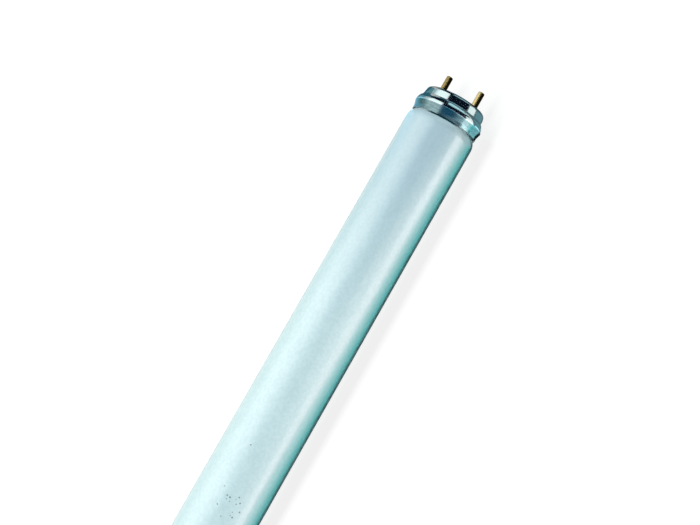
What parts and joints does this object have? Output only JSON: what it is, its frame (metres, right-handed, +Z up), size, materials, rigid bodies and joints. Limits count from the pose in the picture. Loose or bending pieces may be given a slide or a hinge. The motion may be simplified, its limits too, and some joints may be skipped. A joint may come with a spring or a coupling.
{
  "type": "fluorescent tube",
  "caption": "Straight white fluorescent tube with a stepped aluminium cap and brass contact pins at each end.",
  "frame": {"origin": "middle of the lamp, on the axis of the glass", "axes": "+X along the lamp, +Y across the two pins of a cap, +Z up"},
  "size_m": [0.6034, 0.026, 0.026],
  "materials": {
    "coated_glass": "clear glossy glass with a white coating on its inside",
    "cap_metal": "polished drum and shoulder, satin skirt",
    "pin_metal": "drawn, bright",
    "insulation": "pressed fibre board, dull",
    "cement": "rough, cured",
    "lead_metal": "drawn nickel-plated wire"
  },
  "bodies": {
    "root": {"glass_bulb": "coated_glass", "left_cap_shell": "cap_metal", "left_insulator": "insulation", "left_cement_ring": "cement", "left_back_pin": "pin_metal", "left_front_pin": "pin_metal", "left_back_lead_wire": "lead_metal", "left_front_lead_wire": "lead_metal", "right_cap_shell": "cap_metal", "right_insulator": "insulation", "right_cement_ring": "cement", "right_back_pin": "pin_metal", "right_front_pin": "pin_metal", "right_back_lead_wire": "lead_metal", "right_front_lead_wire": "lead_metal"}
  },
  "joints": []
}
